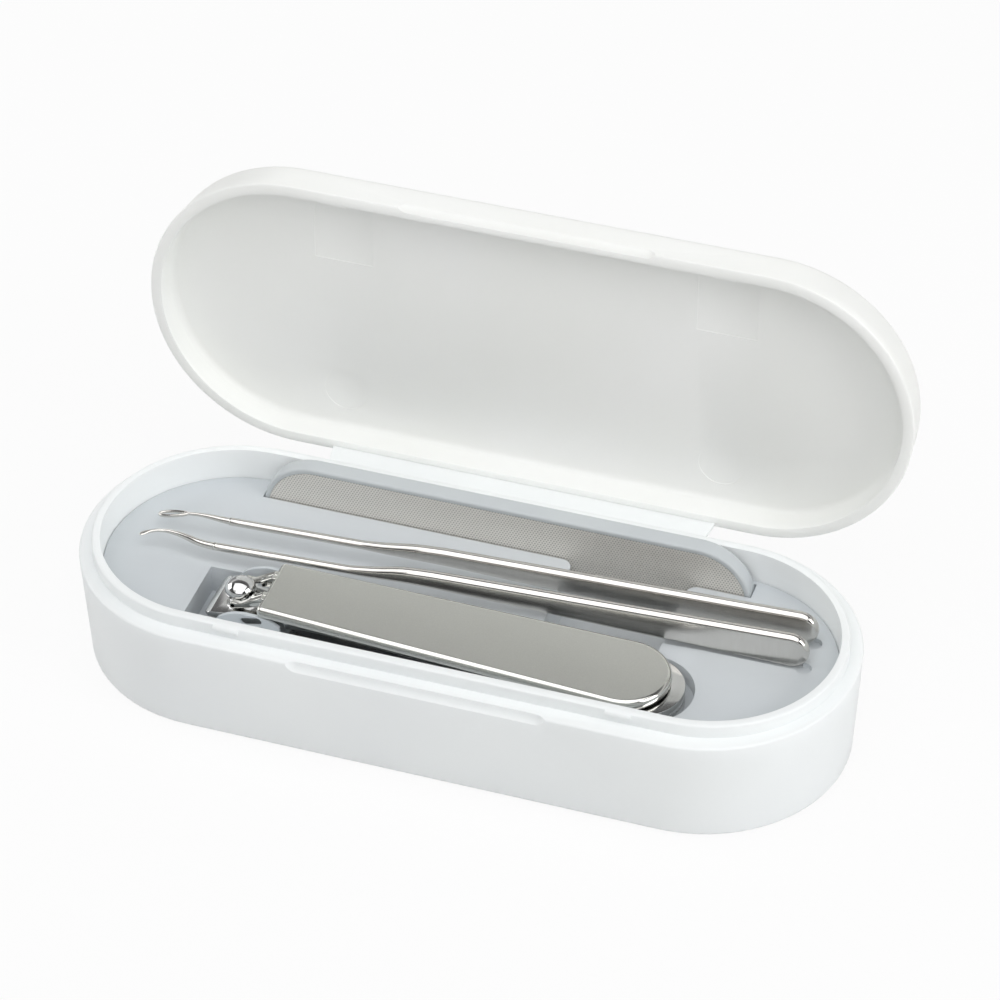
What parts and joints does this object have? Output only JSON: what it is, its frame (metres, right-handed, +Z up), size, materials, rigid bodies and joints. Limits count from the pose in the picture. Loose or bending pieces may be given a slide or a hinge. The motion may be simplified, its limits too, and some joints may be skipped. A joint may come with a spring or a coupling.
{
  "type": "manicure set case",
  "caption": "Oblong hinged travel case, open, with a fitted tray that holds a foot rasp on edge, two slim steel hand tools and a lever nail clipper.",
  "frame": {"origin": "middle of the base's flat underside", "axes": "+X along the case towards the clipper's tail, +Y back to the hinge, +Z up"},
  "size_m": [0.13, 0.0638, 0.0688],
  "materials": {
    "case_plastic": "fine satin moulded",
    "tray_plastic": "satin moulded",
    "rasp_plastic": "satin moulded",
    "etched_steel": "etched with fine raised holes",
    "abrasive": "bonded grit",
    "tool_steel": "polished with ground flats",
    "clipper_steel": "satin with ground edges",
    "lever_steel": "satin top and polished rim",
    "polished_steel": "polished",
    "guard_plastic": "smooth moulded"
  },
  "bodies": {
    "base": {"base_shell": "case_plastic", "tray_insert": "tray_plastic", "hinge_web": "case_plastic"},
    "lid": {"lid_shell": "case_plastic"},
    "rasp": {"rasp_body": "rasp_plastic", "rasp_screen": "etched_steel", "rasp_pad": "abrasive"},
    "extractor": {"loop_extractor": "tool_steel"},
    "pick": {"ear_pick": "tool_steel"},
    "clipper": {"clipper_lower_blade": "clipper_steel", "clipper_tail_rivet": "polished_steel", "clipper_post": "polished_steel", "clipper_post_washer": "polished_steel", "clipper_lever_pin": "polished_steel", "clipping_guard": "guard_plastic"},
    "upper_jaw": {"clipper_upper_blade": "clipper_steel"},
    "lever": {"clipper_lever": "lever_steel"}
  },
  "joints": [
    {"name": "lid_hinge", "type": "hinge", "parent": "base", "child": "lid", "pos_m": [0, 0.02654, 0.0172], "axis": [-1, 0, 0], "range_deg": [-92.9, 0], "deforming": ["hinge_web"]},
    {"name": "rasp_lift", "type": "slide", "parent": "base", "child": "rasp", "axis": [0, 0, 1], "range_m": [0, 0.04]},
    {"name": "extractor_lift", "type": "slide", "parent": "base", "child": "extractor", "axis": [0, 0, 1], "range_m": [0, 0.03]},
    {"name": "pick_lift", "type": "slide", "parent": "base", "child": "pick", "axis": [0, 0, 1], "range_m": [0, 0.03]},
    {"name": "clipper_lift", "type": "slide", "parent": "base", "child": "clipper", "axis": [0, 0, 1], "range_m": [0, 0.03]},
    {"name": "jaw_squeeze", "type": "hinge", "parent": "clipper", "child": "upper_jaw", "pos_m": [0.0322, -0.0098, 0.01455], "axis": [0, -1, 0], "range_deg": [0, 1.6], "stiffness_Nm_per_rad": 5},
    {"name": "lever_tilt", "type": "hinge", "parent": "clipper", "child": "lever", "pos_m": [-0.0349, -0.0098, 0.0179], "axis": [0, -1, 0], "range_deg": [0, 95]}
  ]
}
